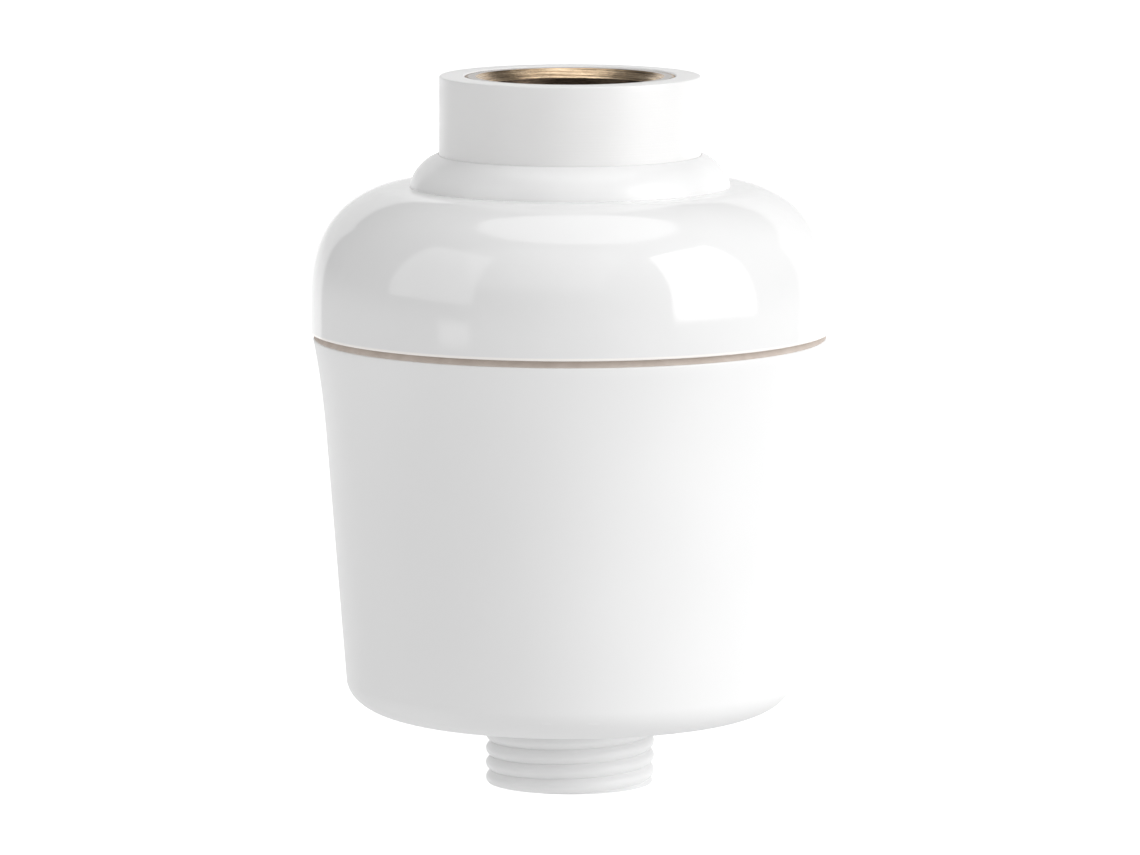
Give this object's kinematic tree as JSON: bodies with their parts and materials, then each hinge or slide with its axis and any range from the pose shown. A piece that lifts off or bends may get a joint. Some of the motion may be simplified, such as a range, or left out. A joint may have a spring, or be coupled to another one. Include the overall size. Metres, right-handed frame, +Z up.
{
  "type": "inline shower filter",
  "caption": "Round two-part inline shower filter with a swivelling brass-lined inlet collar, a screw-off domed cap, a keyed cartridge and a threaded outlet.",
  "frame": {"origin": "centre of the outlet spigot's end face, at the bottom of the part", "axes": "+Z up the common axis, from the outlet to the inlet; X and Y are alike"},
  "size_m": [0.0642, 0.0642, 0.0876],
  "materials": {
    "housing_cup": "satin moulded white",
    "housing_gasket": "matt tan rubber",
    "cap_shell": "glossy moulded white",
    "neck_ring": "glossy moulded white",
    "slip_ring": "waxy natural white",
    "seal_rubber": "matt black",
    "inlet_collar": "satin white with fine turned lines",
    "insert_brass": "turned bright brass",
    "washer_rubber": "matt black",
    "mesh_steel": "woven stainless wire",
    "cartridge_plastic": "satin moulded white",
    "filter_cotton": "soft white fibre",
    "sulfite_white": "matt white beads",
    "divider_fabric": "white non-woven",
    "kdf_metal": "rough golden granules",
    "ceramic_tan": "matt tan balls",
    "carbon_black": "dull black granules"
  },
  "bodies": {
    "housing": {"housing_cup": "housing_cup", "housing_gasket": "housing_gasket"},
    "cartridge": {"cartridge_shell": "cartridge_plastic", "cartridge_lid": "cartridge_plastic", "top_screen": "mesh_steel", "top_pad": "filter_cotton", "sulfite_beads": "sulfite_white", "upper_divider": "divider_fabric", "kdf_granules": "kdf_metal", "middle_divider": "divider_fabric", "ceramic_balls": "ceramic_tan", "lower_divider": "divider_fabric", "carbon_granules": "carbon_black", "bottom_pad": "filter_cotton", "bottom_screen": "mesh_steel"},
    "cap": {"cap_shell": "cap_shell", "neck_ring": "neck_ring", "slip_ring": "slip_ring", "neck_o_ring": "seal_rubber"},
    "inlet": {"inlet_collar": "inlet_collar", "inlet_insert": "insert_brass", "inlet_washer": "washer_rubber", "inlet_screen": "mesh_steel", "swivel_o_ring": "seal_rubber"}
  },
  "joints": [
    {"name": "cartridge_lift", "type": "slide", "parent": "housing", "child": "cartridge", "axis": [0, 0, 1], "range_m": [0, 0.0075]},
    {"name": "cap_turn", "type": "hinge", "parent": "cartridge", "child": "cap", "pos_m": [0, 0, 0.065], "axis": [0, 0, 1], "range_deg": [0, 900]},
    {"name": "inlet_swivel", "type": "hinge", "parent": "cap", "child": "inlet", "pos_m": [0, 0, 0.08], "axis": [0, 0, 1], "continuous": true}
  ],
  "couplings": [
    {"joint": "cartridge_lift", "follows": "cap_turn", "m_per_rad": 0.00047746}
  ]
}
